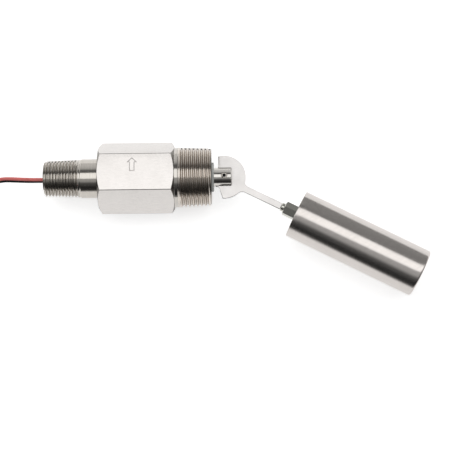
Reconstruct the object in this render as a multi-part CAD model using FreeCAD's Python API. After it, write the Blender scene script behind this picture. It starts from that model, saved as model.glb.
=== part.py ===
"""Float level switch: a hexagon body screwed into a tank wall, a hinged arm with a float, and
inside the body a magnet lever that works a snap switch.  Millimetres.

+X runs from the conduit end to the float, +Z is the way the arrow points, and the arm swings
about Y.  The origin is on the body's axis, at the hexagon's shoulder on the process side.
"""
import FreeCAD, Part
import math
import os
from FreeCAD import Vector

# ---------------------------------------------------------------- driving dimensions
# hexagon body
hex_across_flats = 34.925
hex_length = 42.1
hex_end_circle = 34.2          # diameter where the turned chamfer meets the end face
hex_chamfer_angle = 30.0       # from the end face
# pipe threads, tapered on the diameter
thread_taper = 1 / 16
thread_depth_ratio = 0.62      # depth of a groove, in pitches
thread_root_ratio = 0.08       # flat at the root, in pitches
thread_flank_angle = 30.0
# process thread
process_land_diameter = 33.4
process_land_length = 1.95
process_thread_length = 18.3
process_pitch = 2.2087
process_small_diameter = 32.59
# conduit nipple
shank_diameter = 21.8
shank_length = 9.9
conduit_thread_length = 20.4
conduit_pitch = 1.8143
conduit_small_diameter = 20.0
nipple_bore = 15.8
nipple_bore_depth = 20.6
wire_passage = 9.0
spigot_length = 7.0
# switch chamber in the body
chamber_diameter = 20.0
end_wall = 4.2
spigot_clearance = 0.02
seal_section = 1.4
seal_from_shoulder = 2.4
liner_thickness = 0.5
liner_floor_gap = 13.3
liner_clearance = 0.1
# up arrow engraved on the flat that faces -Y
arrow_height = 7.5
arrow_head_width = 5.8
arrow_head_height = 2.7
arrow_shaft_width = 2.9
arrow_line = 0.42
arrow_depth = 0.3
arrow_tip_above_centre = 7.8
arrow_from_middle = -1.7        # along X, from the hexagon's middle
# collar, neck and its slot
collar_diameter = 16.3
collar_thickness = 1.3
neck_diameter = 10.65
neck_length = 9.8
neck_chamfer = 0.35
tail_diameter = 8.0
slot_width = 3.2
# pivot
pivot_from_neck_end = 4.1
pin_diameter = 2.7
pin_bore = 1.7
pin_split = 0.45
pin_split_angle = 45.0         # below the conduit side
pin_recess = 0.35
pin_countersink = 3.6
washer_diameter = 6.4
washer_thickness = 0.5
running_clearance = 0.05       # radial, moving part on a pin
assembly_clearance = 0.05      # radial, fixed part on a pin
# float arm
arm_droop = 27.0               # below horizontal, at the lower stop
arm_travel = 13.0              # from the lower stop to the upper stop
plate_thickness = 1.6
plate_radius = 12.0
plate_back = 3.3               # upper back edge, behind the pivot
plate_lower_back = 4.27        # lower back edge, square from the pivot
plate_lower_back_angle = 16.0
stop_clearance = 0.1
heel_below_neck = 0.1
strip_width = 3.6
strip_offset = 0.85            # strip's middle line below the pivot
strip_upper_fillet = 2.5
strip_lower_fillet = 3.6
strip_in_socket = 5.4
strip_clearance = 0.03
# socket, lock nut and float, measured along the arm
socket_from_pivot = 35.5
socket_nose_length = 2.0
socket_nose_diameter = 4.9
socket_nose_round = 0.9
stud_diameter = 4.5
nut_across_flats = 7.14
nut_length = 7.7
nut_first_corner = 35.0        # about the arm, from its upper edge
nut_chamfer = 0.6
float_diameter = 27.0
float_length = 75.6
float_wall = 0.5
float_end_round = 1.2
cap_thickness = 1.0
cap_recess = 0.3
cap_boss_diameter = 8.0
cap_boss_length = 4.0
# magnet lever
lever_travel_ratio = 0.6       # lever turn for each turn of the arm
lever_width = 5.0
lever_thickness = 1.0
lever_pin_x = 9.9
lever_pin_z = -6.5
lever_pin_diameter = 1.6
lever_hub_diameter = 3.8
lever_foot_past_button = 1.8
magnet_diameter = 6.0
magnet_thickness = 3.0
magnet_z = 6.0
lever_side_gap = 0.3
clip_thickness = 0.4
clip_diameter = 3.4
# snap switch
case_length = 20.0
case_height = 9.4
case_width = 6.2
case_bottom_z = -3.7
case_to_lever = 2.9
button_diameter = 2.4
button_from_case_end = 3.7
button_proud = 2.0
button_inside = 1.9
button_hole_depth = 3.2
terminal_width = 2.8
terminal_thickness = 0.5
terminal_length = 2.6
terminal_inside = 1.5
terminal_pitch = 7.5
switch_screw_diameter = 2.0
switch_screw_spacing = 9.5
switch_screw_z = 2.5
screw_head_diameter = 3.6
screw_head_height = 1.2
# frame that carries the switch and the lever
frame_thickness = 1.0
frame_height = 16.0
frame_past_pin = 2.4
flange_width = 9.3
flange_height = 15.2
frame_screw_spacing = 12.6
frame_screw_depth = 4.0
# leads
lead_diameter = 1.8
lead_length = 457.0            # each, outside the nipple
potting_recess = 2.0
exit_half_spacing = 0.9
red_exit_z = -0.35
black_exit_z = -1.0
coil_mean_diameter = 21.0
coil_layers = 3
coil_columns = 2
coil_gap = 0.1
coil_corner = 1.0
coil_centre_x = -117.8
coil_centre_z = -23.0
tie_width = 2.5
tie_thickness = 0.9
tie_clearance = 0.2
tie_angle = -35.0
tie_head = 3.2

# ---------------------------------------------------------------- places that follow
process_end = process_land_length + process_thread_length
collar_end = process_end + collar_thickness
neck_end = collar_end + neck_length
pivot_x = neck_end - pivot_from_neck_end
chamber_end = process_end - end_wall
shoulder_x = -hex_length
shank_end = shoulder_x - shank_length
conduit_end = shank_end - conduit_thread_length
spigot_end = shoulder_x + spigot_length
potting_face = conduit_end + potting_recess
potting_back = conduit_end + nipple_bore_depth
neck_radius = neck_diameter / 2
chamber_radius = chamber_diameter / 2
lead_radius = lead_diameter / 2
arrow_face_y = -hex_across_flats / 2

# the slot is cut back until the plate's upper back edge just clears its floor at full travel
travel = math.radians(arm_travel)
slot_floor_back = (plate_back + stop_clearance / 2 + neck_radius * math.sin(travel)) / math.cos(travel)
slot_floor_x = pivot_x - slot_floor_back

button_x = lever_pin_x - lever_thickness / 2 - case_to_lever - button_from_case_end
case_end_x = button_x + button_from_case_end
case_start_x = case_end_x - case_length
case_top_z = case_bottom_z + case_height
case_side_y = case_width / 2
frame_y = case_side_y + 0.1
frame_back_y = frame_y + frame_thickness
foot_z = lever_pin_z - lever_thickness / 2

files = {}


def save(name, shape):
    files[name] = shape
    shape.exportStep(f"parts/{name}.step")


# ---------------------------------------------------------------- helpers
def rod_x(radius, start, end, y=0.0, z=0.0):
    return Part.makeCylinder(radius, end - start, Vector(start, y, z), Vector(1, 0, 0))


def rod_y(radius, start, end, x, z):
    return Part.makeCylinder(radius, end - start, Vector(x, start, z), Vector(0, 1, 0))


def rod_z(radius, start, end, x, y=0.0):
    return Part.makeCylinder(radius, end - start, Vector(x, y, start), Vector(0, 0, 1))


def block(x, y, z):
    """Box from three (low, high) pairs."""
    size = [high - low for low, high in (x, y, z)]
    return Part.makeBox(*size, Vector(x[0], y[0], z[0]))


def turned(outline):
    """Solid of revolution about X from (x, radius) points."""
    points = [Vector(x, 0, radius) for x, radius in outline]
    face = Part.Face(Part.makePolygon(points + points[:1]))
    return face.revolve(Vector(0, 0, 0), Vector(1, 0, 0), 360)


def plate_xz(points, y_low, y_high):
    """Flat plate from (x, z) points, between two Y values."""
    corners = [Vector(x, y_low, z) for x, z in points]
    face = Part.Face(Part.makePolygon(corners + corners[:1]))
    return face.extrude(Vector(0, y_high - y_low, 0))


def hexagon_x(across_flats, start, end, first_corner):
    """Hexagonal bar along X; first_corner is the angle of a corner from +Z."""
    radius = across_flats / math.sqrt(3)
    corners = []
    for side in range(6):
        angle = math.radians(first_corner + 60 * side)
        corners.append(Vector(start, radius * math.sin(angle), radius * math.cos(angle)))
    return Part.Face(Part.makePolygon(corners + corners[:1])).extrude(Vector(end - start, 0, 0))


def thread_outline(x_small, step, length, small_diameter, pitch):
    """(x, radius) points of a tapered thread from its small end, as rings of V grooves."""
    depth = pitch * thread_depth_ratio
    root_half = pitch * thread_root_ratio / 2
    groove_half = root_half + depth * math.tan(math.radians(thread_flank_angle))

    def crest(along):
        return small_diameter / 2 + along * thread_taper / 2

    outline = [(x_small, crest(0) - depth), (x_small + step * depth, crest(depth))]
    first = depth + groove_half + root_half
    grooves = int((length - first - groove_half) / pitch) + 1
    for number in range(grooves):
        middle = first + number * pitch
        for offset, drop in ((-groove_half, 0), (-root_half, depth), (root_half, depth), (groove_half, 0)):
            along = middle + offset
            outline.append((x_small + step * along, crest(along) - drop))
    outline.append((x_small + step * length, crest(length)))
    return outline


def ring_x(outer, inner, start, end):
    return rod_x(outer, start, end).cut(rod_x(inner, start, end))


def rounded_tube(name, route, diameter):
    """Round tube along straight runs joined by tangent arcs; prints its bend radii."""
    points = [Vector(*point) for point in route]
    edges = []
    radii = []
    start = points[0]
    for before, corner, after in zip(points, points[1:], points[2:]):
        incoming = corner - before
        outgoing = after - corner
        turn = incoming.getAngle(outgoing)
        back = 0.45 * min(incoming.Length, outgoing.Length)
        radii.append(back / math.tan(turn / 2))
        incoming.normalize()
        outgoing.normalize()
        first = corner - incoming * back
        last = corner + outgoing * back
        inward = (outgoing - incoming).normalize()
        centre_distance = math.hypot(radii[-1], back)
        middle = corner + inward * (centre_distance - radii[-1])
        edges.append(Part.LineSegment(start, first).toShape())
        edges.append(Part.Arc(first, middle, last).toShape())
        start = last
    edges.append(Part.LineSegment(start, points[-1]).toShape())
    spine = Part.Wire(edges)
    section = Part.Wire([Part.Circle(points[0], points[1] - points[0], diameter / 2).toShape()])
    tube = spine.makePipeShell([section], True, False)
    expected = math.pi * diameter ** 2 / 4 * spine.Length
    print(name, "length", round(spine.Length, 1), "radii", [round(value, 1) for value in radii],
          "volume over section times length", round(tube.Volume / expected, 4))
    return tube, spine.Length


# ---------------------------------------------------------------- body
def hex_body():
    corner_radius = hex_across_flats / math.sqrt(3)
    reach = corner_radius + 1
    slope = math.tan(math.radians(hex_chamfer_angle))
    rise = (reach - hex_end_circle / 2) * slope
    bar = hexagon_x(hex_across_flats, shoulder_x, 0, 0)
    chamfers = turned([
        (shoulder_x, 0), (shoulder_x, hex_end_circle / 2), (shoulder_x + rise, reach),
        (-rise, reach), (0, hex_end_circle / 2), (0, 0)])
    thread = thread_outline(process_end, -1, process_thread_length, process_small_diameter, process_pitch)
    stub = turned([(process_end, 0)] + thread
                  + [(process_land_length, process_land_diameter / 2), (0, process_land_diameter / 2), (0, 0)])
    body = bar.common(chamfers).fuse(stub)
    body = body.cut(rod_x(chamber_radius, shoulder_x, chamber_end))
    body = body.cut(rod_x(tail_diameter / 2, chamber_end, process_end))
    return body.cut(arrow_groove())


def arrow_groove():
    middle = arrow_from_middle - hex_length / 2
    tip = arrow_tip_above_centre
    head = tip - arrow_head_height
    foot = tip - arrow_height
    half_head = arrow_head_width / 2
    half_shaft = arrow_shaft_width / 2
    outline = [
        (middle, tip), (middle + half_head, head), (middle + half_shaft, head), (middle + half_shaft, foot),
        (middle - half_shaft, foot), (middle - half_shaft, head), (middle - half_head, head)]
    corners = [Vector(x, arrow_face_y, z) for x, z in outline]
    outer = Part.Face(Part.makePolygon(corners + corners[:1]))
    inner = outer.makeOffset2D(-arrow_line, 2)
    inward = Vector(0, arrow_depth, 0)
    return outer.extrude(inward).cut(inner.extrude(inward))


# ---------------------------------------------------------------- conduit end
def conduit_nipple():
    thread = thread_outline(conduit_end, 1, conduit_thread_length, conduit_small_diameter, conduit_pitch)
    spigot_radius = chamber_radius - spigot_clearance
    groove_start = shoulder_x + seal_from_shoulder
    groove_floor = spigot_radius - seal_section
    outline = [(conduit_end, 0)] + thread + [
        (shank_end, shank_diameter / 2), (shoulder_x, shank_diameter / 2), (shoulder_x, spigot_radius),
        (groove_start, spigot_radius), (groove_start, groove_floor),
        (groove_start + seal_section, groove_floor), (groove_start + seal_section, spigot_radius),
        (spigot_end, spigot_radius), (spigot_end, 0)]
    nipple = turned(outline)
    nipple = nipple.cut(rod_x(nipple_bore / 2, conduit_end, potting_back))
    nipple = nipple.cut(rod_x(wire_passage / 2, potting_back, spigot_end))
    for z in screw_heights(frame_screw_spacing):
        nipple = nipple.cut(rod_x(switch_screw_diameter / 2, spigot_end - frame_screw_depth, spigot_end, 0, z))
    return nipple


def screw_heights(spacing):
    return (-spacing / 2, spacing / 2)


def seal_ring():
    radius = seal_section / 2
    middle = Vector(shoulder_x + seal_from_shoulder + radius, 0, 0)
    return Part.makeTorus(chamber_radius - spigot_clearance - radius, radius, middle, Vector(1, 0, 0))


def potting_plug():
    plug = rod_x(nipple_bore / 2, potting_face, potting_back)
    for y, z in ((-exit_half_spacing, red_exit_z), (exit_half_spacing, black_exit_z)):
        plug = plug.cut(rod_x(lead_radius, potting_face, potting_back, y, z))
    return plug


def chamber_liner():
    outer = chamber_radius - liner_clearance
    start = spigot_end + liner_clearance
    return ring_x(outer, outer - liner_thickness, start, chamber_end - liner_floor_gap)


# ---------------------------------------------------------------- neck and pivot
def collar():
    return ring_x(collar_diameter / 2, tail_diameter / 2, process_end, collar_end)


def pivot_stem():
    stem = turned([
        (chamber_end, 0), (chamber_end, tail_diameter / 2), (collar_end, tail_diameter / 2),
        (collar_end, neck_radius), (neck_end - neck_chamfer, neck_radius),
        (neck_end, neck_radius - neck_chamfer), (neck_end, 0)])
    half_slot = slot_width / 2
    slot = block((slot_floor_x, neck_end), (-half_slot, half_slot), (-neck_radius, neck_radius))
    stem = stem.cut(slot)
    stem = stem.cut(rod_y(pin_diameter / 2, -neck_radius, neck_radius, pivot_x, 0))
    depth = (pin_countersink - pin_diameter) / 2
    for side in (-1, 1):
        mouth = Part.makeCone(pin_countersink / 2, pin_diameter / 2, depth,
                              Vector(pivot_x, side * (neck_radius - pin_recess / 2), 0), Vector(0, -side, 0))
        mouth = mouth.fuse(rod_y(pin_countersink / 2, -pin_recess, pin_recess, pivot_x, 0).translated(
            Vector(0, side * (neck_radius + pin_recess / 2), 0)))
        stem = stem.cut(mouth)
    return stem


def pivot_pin():
    half = neck_radius - pin_recess
    pin = rod_y(pin_diameter / 2, -half, half, pivot_x, 0)
    pin = pin.cut(rod_y(pin_bore / 2, -half, half, pivot_x, 0))
    split = block((pivot_x - pin_diameter, pivot_x), (-half, half), (-pin_split / 2, pin_split / 2))
    split.rotate(Vector(pivot_x, 0, 0), Vector(0, 1, 0), -pin_split_angle)
    return pin.cut(split)


def pivot_washers():
    washers = []
    hole = pin_diameter / 2 + assembly_clearance
    for side in (-1, 1):
        low, high = sorted((side * slot_width / 2, side * (slot_width / 2 - washer_thickness)))
        washer = rod_y(washer_diameter / 2, low, high, pivot_x, 0)
        washers.append(washer.cut(rod_y(hole, low, high, pivot_x, 0)))
    return Part.makeCompound(washers)


# ---------------------------------------------------------------- arm and float
def along_arm(shape):
    """Puts a shape made along +X from the pivot onto the drooping arm's middle line."""
    shape = shape.copy()
    shape.translate(Vector(0, 0, -strip_offset))
    shape.rotate(Vector(0, 0, 0), Vector(0, 1, 0), arm_droop)
    shape.translate(Vector(pivot_x, 0, 0))
    return shape


def arm_plate():
    half = plate_thickness / 2
    far = plate_radius + 1
    lean = math.radians(plate_lower_back_angle)
    heel = slot_floor_back - stop_clearance
    heel_low = -neck_radius - heel_below_neck
    edge_top = heel_low - heel_below_neck

    def lower_edge_x(z):
        return -(plate_lower_back + z * math.sin(lean)) / math.cos(lean)

    back = [(-plate_back, far), (-plate_back, heel - plate_back), (-heel, 0), (-heel, heel_low),
            (lower_edge_x(edge_top), edge_top), (lower_edge_x(-far), -far), (far, -far), (far, far)]
    fan = plate_xz([(pivot_x + x, z) for x, z in back], -half, half)
    fan = fan.common(rod_y(plate_radius, -half, half, pivot_x, 0))
    strip_end = socket_from_pivot + strip_in_socket
    strip = along_arm(block((plate_radius / 2, strip_end), (-half, half), (-strip_width / 2, strip_width / 2)))
    plate = fan.fuse(strip).removeSplitter()
    for side, radius in ((1, strip_upper_fillet), (-1, strip_lower_fillet)):
        plate = plate.makeFillet(radius, [root_edge(plate, side)])
    return plate.cut(rod_y(pin_diameter / 2 + running_clearance, -half, half, pivot_x, 0))


def root_edge(plate, side):
    """Edge across the plate where the strip's upper (1) or lower (-1) side meets the fan."""
    across = side * strip_width / 2 - strip_offset
    reach = math.sqrt(plate_radius ** 2 - across ** 2)
    droop = math.radians(arm_droop)
    corner = Vector(pivot_x + reach * math.cos(droop) + across * math.sin(droop), 0,
                    across * math.cos(droop) - reach * math.sin(droop))
    return min(plate.Edges, key=lambda edge: (edge.CenterOfMass - corner).Length)


def arm_socket():
    nose_end = socket_from_pivot + socket_nose_length
    stud_end = float_start() + cap_recess + cap_thickness + cap_boss_length / 2
    nose = rod_x(socket_nose_diameter / 2, socket_from_pivot, nose_end)
    front = [edge for edge in nose.Edges if edge.CenterOfMass.x < socket_from_pivot + 0.01]
    nose = nose.makeFillet(socket_nose_round, front)
    socket = nose.fuse(rod_x(stud_diameter / 2, nose_end, stud_end)).removeSplitter()
    half_y = plate_thickness / 2 + strip_clearance
    half_z = strip_width / 2 + strip_clearance
    pocket = block((socket_from_pivot, socket_from_pivot + strip_in_socket),
                   (-half_y, half_y), (-half_z, half_z))
    return along_arm(socket.cut(pocket))


def float_start():
    return socket_from_pivot + socket_nose_length + nut_length - cap_recess


def lock_nut():
    start = socket_from_pivot + socket_nose_length
    end = start + nut_length
    corner = nut_across_flats / math.sqrt(3)
    inset = nut_chamfer / math.tan(math.radians(thread_flank_angle))
    nut = hexagon_x(nut_across_flats, start, end, nut_first_corner)
    dressed = turned([(start, 0), (start, corner - inset), (start + nut_chamfer, corner), (end, corner), (end, 0)])
    nut = nut.common(dressed)
    return along_arm(nut.cut(rod_x(stud_diameter / 2, start, end)))


def float_shell():
    start = float_start()
    end = start + float_length
    outer = rod_x(float_diameter / 2, start, end)
    inner = rod_x(float_diameter / 2 - float_wall, start, end - float_wall)
    outer = outer.makeFillet(float_end_round, [edge for edge in outer.Edges if edge.CenterOfMass.x > end - 0.01])
    inner_round = max(float_end_round - float_wall, 0.1)
    inner = inner.makeFillet(inner_round, [
        edge for edge in inner.Edges if edge.CenterOfMass.x > end - float_wall - 0.01])
    return along_arm(outer.cut(inner))


def float_cap():
    start = float_start() + cap_recess
    face_end = start + cap_thickness
    cap = rod_x(float_diameter / 2 - float_wall, start, face_end)
    cap = cap.fuse(rod_x(cap_boss_diameter / 2, face_end, face_end + cap_boss_length)).removeSplitter()
    return along_arm(cap.cut(rod_x(stud_diameter / 2, start, face_end + cap_boss_length / 2)))


# ---------------------------------------------------------------- magnet lever
def magnet_lever():
    half_width = lever_width / 2
    half = lever_thickness / 2
    top = magnet_z + magnet_diameter / 2
    upright = block((lever_pin_x - half, lever_pin_x + half), (-half_width, half_width), (lever_pin_z, top))
    foot = block((button_x - lever_foot_past_button, lever_pin_x), (-half_width, half_width),
                 (foot_z, foot_z + lever_thickness))
    hub = rod_y(lever_hub_diameter / 2, -half_width, half_width, lever_pin_x, lever_pin_z)
    lever = upright.fuse(foot).fuse(hub)
    hole = lever_pin_diameter / 2 + running_clearance
    return lever.cut(rod_y(hole, -half_width, half_width, lever_pin_x, lever_pin_z))


def lever_magnet():
    start = lever_pin_x + lever_thickness / 2
    return rod_x(magnet_diameter / 2, start, start + magnet_thickness, 0, magnet_z)


def lever_pin():
    shoulder_start = lever_width / 2 + lever_side_gap
    clip_start = -lever_width / 2 - lever_side_gap - clip_thickness
    pin = rod_y(lever_pin_diameter / 2, clip_start - clip_thickness, frame_back_y, lever_pin_x, lever_pin_z)
    shoulder = rod_y(lever_pin_diameter, shoulder_start, frame_y, lever_pin_x, lever_pin_z)
    groove = rod_y(lever_pin_diameter / 2, clip_start, clip_start + clip_thickness, lever_pin_x, lever_pin_z)
    groove = groove.cut(rod_y(clip_bore(), clip_start, clip_start + clip_thickness, lever_pin_x, lever_pin_z))
    return pin.fuse(shoulder).cut(groove)


def clip_bore():
    return lever_pin_diameter / 2 - 0.2


def lever_clip():
    start = -lever_width / 2 - lever_side_gap - clip_thickness
    end = start + clip_thickness
    clip = rod_y(clip_diameter / 2, start, end, lever_pin_x, lever_pin_z)
    clip = clip.cut(rod_y(clip_bore(), start, end, lever_pin_x, lever_pin_z))
    mouth = block((lever_pin_x - clip_bore() * 0.8, lever_pin_x + clip_bore() * 0.8), (start, end),
                  (lever_pin_z - clip_diameter, lever_pin_z))
    return clip.cut(mouth)


# ---------------------------------------------------------------- snap switch and frame
def switch_screw_places():
    middle = (case_start_x + case_end_x) / 2 - 1.0
    return [middle + side * switch_screw_spacing / 2 for side in (-1, 1)]


def terminal_places():
    first = case_start_x + terminal_width
    return [first, first + terminal_pitch]


def terminal_block(x):
    half = terminal_thickness / 2
    return block((x - terminal_width / 2, x + terminal_width / 2), (-half, half),
                 (case_top_z - terminal_inside, case_top_z + terminal_length))


def switch_case():
    case = block((case_start_x, case_end_x), (-case_side_y, case_side_y), (case_bottom_z, case_top_z))
    hole = button_diameter / 2 + running_clearance
    case = case.cut(rod_z(hole, case_bottom_z, case_bottom_z + button_hole_depth, button_x))
    for x in switch_screw_places():
        case = case.cut(rod_y(switch_screw_diameter / 2, -case_side_y, case_side_y, x, switch_screw_z))
    for x in terminal_places():
        case = case.cut(terminal_block(x))
    return case


def switch_button():
    button = rod_z(button_diameter / 2, case_bottom_z - button_proud, case_bottom_z + button_inside, button_x)
    tip = [edge for edge in button.Edges if edge.CenterOfMass.z < case_bottom_z - button_proud + 0.01]
    return button.makeFillet(button_diameter / 5, tip)


def switch_screws():
    screws = []
    for x in switch_screw_places():
        shank = rod_y(switch_screw_diameter / 2, -case_side_y, frame_back_y, x, switch_screw_z)
        head = rod_y(screw_head_diameter / 2, -case_side_y - screw_head_height, -case_side_y, x, switch_screw_z)
        screws.append(shank.fuse(head).removeSplitter())
    return Part.makeCompound(screws)


def switch_frame():
    half_height = frame_height / 2
    end = lever_pin_x + frame_past_pin
    web = block((spigot_end, end), (frame_y, frame_back_y), (-half_height, half_height))
    half_flange = flange_height / 2
    flange = block((spigot_end, spigot_end + frame_thickness), (frame_back_y - flange_width, frame_back_y),
                   (-half_flange, half_flange))
    frame = web.fuse(flange).removeSplitter()
    frame = frame.cut(rod_x(wire_passage / 2 - 1, spigot_end, spigot_end + frame_thickness))
    for z in screw_heights(frame_screw_spacing):
        frame = frame.cut(rod_x(switch_screw_diameter / 2, spigot_end, spigot_end + frame_thickness, 0, z))
    for x in switch_screw_places():
        frame = frame.cut(rod_y(switch_screw_diameter / 2, frame_y, frame_back_y, x, switch_screw_z))
    return frame.cut(rod_y(lever_pin_diameter / 2, frame_y, frame_back_y, lever_pin_x, lever_pin_z))


def frame_screws():
    screws = []
    inner = spigot_end + frame_thickness
    for z in screw_heights(frame_screw_spacing):
        shank = rod_x(switch_screw_diameter / 2, spigot_end - frame_screw_depth, inner, 0, z)
        head = rod_x(screw_head_diameter / 2, inner, inner + screw_head_height, 0, z)
        screws.append(shank.fuse(head).removeSplitter())
    return Part.makeCompound(screws)


# ---------------------------------------------------------------- leads
lead_z = case_top_z + terminal_length / 2 + 0.1
side_y = terminal_thickness / 2 + lead_radius + assembly_clearance
black_x, red_x = terminal_places()
red_inner_route = [
    (red_x + 1.0, -side_y, lead_z), (red_x - 6.0, -side_y - 0.6, lead_z), (red_x - 12.0, -side_y - 1.0, lead_z - 0.2),
    (spigot_end + 8.0, -1.4, 1.4), (spigot_end - 6.0, -exit_half_spacing, red_exit_z),
    (potting_face, -exit_half_spacing, red_exit_z)]
black_inner_route = [
    (black_x + 1.0, side_y, lead_z), (black_x - 6.0, side_y + 0.1, lead_z - 0.8),
    (black_x - 12.0, side_y, lead_z - 4.2), (spigot_end + 6.0, 1.1, 0.2),
    (spigot_end - 5.0, exit_half_spacing, black_exit_z), (potting_face, exit_half_spacing, black_exit_z)]

# out of the nipple, straight on, then down into the coil
lead_drop_x = -106.4
red_route = [
    (potting_face, -exit_half_spacing, red_exit_z), (-83.0, -exit_half_spacing, red_exit_z), (-98.6, -1.3, 0.25),
    (lead_drop_x + 0.3, -1.75, -6.4), (lead_drop_x, -1.9, -15.0)]
black_route = [
    (potting_face, exit_half_spacing, black_exit_z), (-83.5, exit_half_spacing, black_exit_z), (-99.2, 1.3, -0.45),
    (lead_drop_x - 0.1, 1.75, -7.4), (lead_drop_x, 1.9, -15.0)]

coil_width = coil_columns * lead_diameter
coil_depth = coil_layers * lead_diameter
coil_inner = coil_mean_diameter / 2 - coil_depth / 2
coil_outer = coil_mean_diameter / 2 + coil_depth / 2


def lead_coil(side):
    near = coil_gap / 2
    far = near + coil_width
    low, high = sorted((side * near, side * far))
    ring = rod_y(coil_outer, low, high, coil_centre_x, coil_centre_z)
    ring = ring.cut(rod_y(coil_inner, low, high, coil_centre_x, coil_centre_z))
    rims = [edge for edge in ring.Edges if isinstance(edge.Curve, Part.Circle)]
    return ring.makeFillet(coil_corner, rims)


def lead_tie():
    """Band round both coils at one place, with its head on the outer side."""
    inner_x = (coil_inner - tie_clearance, coil_outer + tie_clearance)
    outer_x = (inner_x[0] - tie_thickness, inner_x[1] + tie_thickness)
    half_y = coil_gap / 2 + coil_width + tie_clearance
    half_width = tie_width / 2
    band = block(outer_x, (-half_y - tie_thickness, half_y + tie_thickness), (-half_width, half_width))
    band = band.cut(block(inner_x, (-half_y, half_y), (-half_width, half_width)))
    head_x = (outer_x[1], outer_x[1] + tie_head * 0.7)
    head = block(head_x, (-tie_head / 2, tie_head / 2), (-tie_head / 2, tie_head / 2))
    tie = band.fuse(head).removeSplitter()
    tie.rotate(Vector(0, 0, 0), Vector(0, 1, 0), -tie_angle)
    tie.translate(Vector(coil_centre_x, 0, coil_centre_z))
    return tie


def save_leads():
    for name, route in (("red_inner_lead", red_inner_route), ("black_inner_lead", black_inner_route)):
        tube, length = rounded_tube(name, route, lead_diameter)
        save(name, tube)
    for colour, route, side in (("red", red_route, -1), ("black", black_route, 1)):
        tube, length = rounded_tube(f"{colour}_lead", route, lead_diameter)
        save(f"{colour}_lead", tube)
        save(f"{colour}_lead_coil", lead_coil(side))
        turns = (lead_length - length) / (math.pi * coil_mean_diameter)
        print(f"{colour} coil turns {turns:.2f}, of {coil_layers * coil_columns} that the coil holds")
    save("lead_tie", lead_tie())


def main():
    os.makedirs("parts", exist_ok=True)
    makers = (hex_body, conduit_nipple, seal_ring, potting_plug, chamber_liner, collar, pivot_stem, pivot_pin,
              pivot_washers, arm_plate, arm_socket, lock_nut, float_shell, float_cap, magnet_lever,
              lever_magnet, lever_pin, lever_clip, switch_case, switch_button, switch_screws,
              switch_frame, frame_screws)
    for maker in makers:
        save(maker.__name__, maker())
    save("switch_terminals", Part.makeCompound([terminal_block(x) for x in terminal_places()]))
    save_leads()
    for name, shape in files.items():
        box = shape.BoundBox
        print(f"{name:18s} solids {len(shape.Solids)} valid {shape.isValid()} volume {shape.Volume:9.1f} "
              f"x {box.XMin:7.2f} {box.XMax:7.2f} y {box.YMin:6.2f} {box.YMax:6.2f} "
              f"z {box.ZMin:7.2f} {box.ZMax:7.2f}")
    print("pivot x", round(pivot_x, 3), "slot floor x", round(slot_floor_x, 3), "button x", round(button_x, 3))


main()
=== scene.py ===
"""Looks of the float level switch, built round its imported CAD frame.  Metres, same frame as the CAD.

+X runs from the conduit end to the float, +Z is the way the arrow points, the arm swings about Y.
Lengths written in millimetres are turned into metres by MM.
"""
import bpy
import bmesh
import math
from mathutils import Matrix, Vector


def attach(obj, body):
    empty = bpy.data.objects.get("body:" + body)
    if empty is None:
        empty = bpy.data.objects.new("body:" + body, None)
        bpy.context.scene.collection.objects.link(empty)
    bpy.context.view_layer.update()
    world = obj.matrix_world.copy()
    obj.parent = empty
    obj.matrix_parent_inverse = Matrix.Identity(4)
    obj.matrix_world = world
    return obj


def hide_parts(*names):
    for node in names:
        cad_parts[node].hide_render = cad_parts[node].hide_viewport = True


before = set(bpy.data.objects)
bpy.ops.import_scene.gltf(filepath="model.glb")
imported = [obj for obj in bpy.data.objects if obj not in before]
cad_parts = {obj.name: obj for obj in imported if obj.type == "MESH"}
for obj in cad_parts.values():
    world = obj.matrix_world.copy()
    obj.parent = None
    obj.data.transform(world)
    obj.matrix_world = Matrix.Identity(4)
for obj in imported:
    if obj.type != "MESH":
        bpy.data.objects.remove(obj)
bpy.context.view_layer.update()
MM = 0.001
scene = bpy.context.scene
scene.view_settings.view_transform = "Standard"

# ---------------------------------------------------------------- sizes, in mm, as in the CAD
HEX_FLATS = 34.925
HEX_CORNER_RADIUS = 20.05      # the bar's corners are very slightly rounded off
HEX_END_RADIUS = 17.1
HEX_CHAMFER = math.radians(30)
SHOULDER_X = -42.1
LAND_END = 1.95
LAND_RADIUS = 16.7
PROCESS_END = 20.25
PROCESS_PITCH = 2.2087
PROCESS_SMALL_RADIUS = 16.295
SHANK_END = -52.0
SHANK_RADIUS = 10.9
CONDUIT_END = -72.4
CONDUIT_PITCH = 1.8143
CONDUIT_SMALL_RADIUS = 10.0
SPIGOT_END = -35.1
SPIGOT_RADIUS = 9.98
SEAL_GROOVE = (-39.7, -38.3, 8.58)
NIPPLE_BORE_RADIUS = 7.9
POTTING_BACK = -51.8
WIRE_PASSAGE_RADIUS = 4.5
CHAMBER_RADIUS = 10.0
CHAMBER_END = 16.05
TAIL_RADIUS = 4.0
THREAD_TAPER = 1 / 32          # radius gained for each length
THREAD_DEPTH = 0.62            # share of the pitch
EDGE = 0.12                    # usual softening of a turned corner
COLLAR_END = 21.55
COLLAR_RADIUS = 8.15
PIVOT_X = 27.25
ARM_DROOP = math.radians(27.0)
STRIP_OFFSET = 0.85
FLOAT_START = 44.9
FLOAT_RADIUS = 13.5
FLOAT_LENGTH = 75.6
FLOAT_ROUND = 1.2
FLOAT_WALL = 0.5


# ---------------------------------------------------------------- camera
CAMERA_PLACE = Vector((31.97, -700.0, -149.25)) * MM
CAMERA_AZIMUTH = math.radians(-0.371)
CAMERA_ELEVATION = math.radians(9.903)
CAMERA_ROLL = math.radians(-0.606)
CAMERA_LENS = 102.96


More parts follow.
